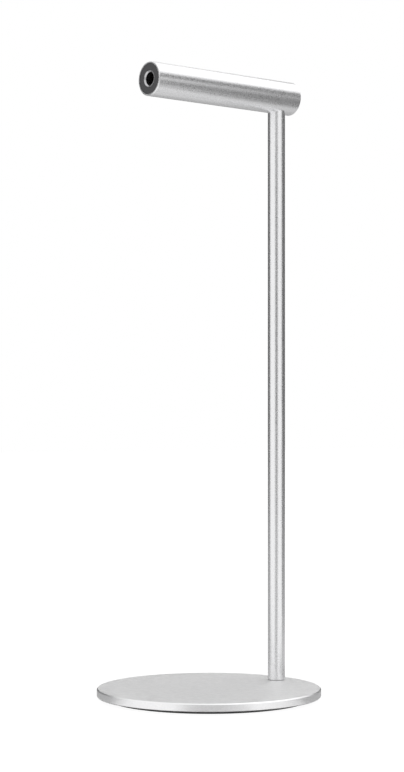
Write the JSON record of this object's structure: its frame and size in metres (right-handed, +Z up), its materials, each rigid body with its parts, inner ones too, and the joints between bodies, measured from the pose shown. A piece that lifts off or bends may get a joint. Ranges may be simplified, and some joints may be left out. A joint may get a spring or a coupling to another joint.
{
  "type": "headphone stand",
  "caption": "Desk stand for headphones: thin round aluminium base, slim upright rod near its back edge, and a short level round head over the base with a plug socket in its front end.",
  "frame": {"origin": "On the desk surface under the centre of the round base.", "axes": "+Z up, along the rod. The head lies along Y and its front end, with the socket, is towards -Y. +X is to the right when looking along +Y."},
  "size_m": [0.1, 0.1, 0.2803],
  "materials": {
    "pad_rubber": "matte silicone",
    "adhesive": "double-sided film",
    "base_aluminium": "fine bead-blasted, clear anodised, bright-cut top edge",
    "screw_steel": "zinc-plated",
    "rod_aluminium": "satin anodised",
    "head_aluminium": "satin anodised",
    "core_aluminium": "as machined",
    "plug_plastic": "dark grey satin",
    "eyelet_metal": "polished",
    "rear_plastic": "dark grey satin"
  },
  "bodies": {
    "root": {"anti_slip_pad": "pad_rubber", "pad_adhesive": "adhesive", "base_disc": "base_aluminium", "base_screw": "screw_steel", "upright_rod": "rod_aluminium", "head_stud": "screw_steel", "head_tube": "head_aluminium", "head_core": "core_aluminium", "front_plug": "plug_plastic", "front_eyelet": "eyelet_metal", "rear_plug": "rear_plastic"}
  },
  "joints": []
}
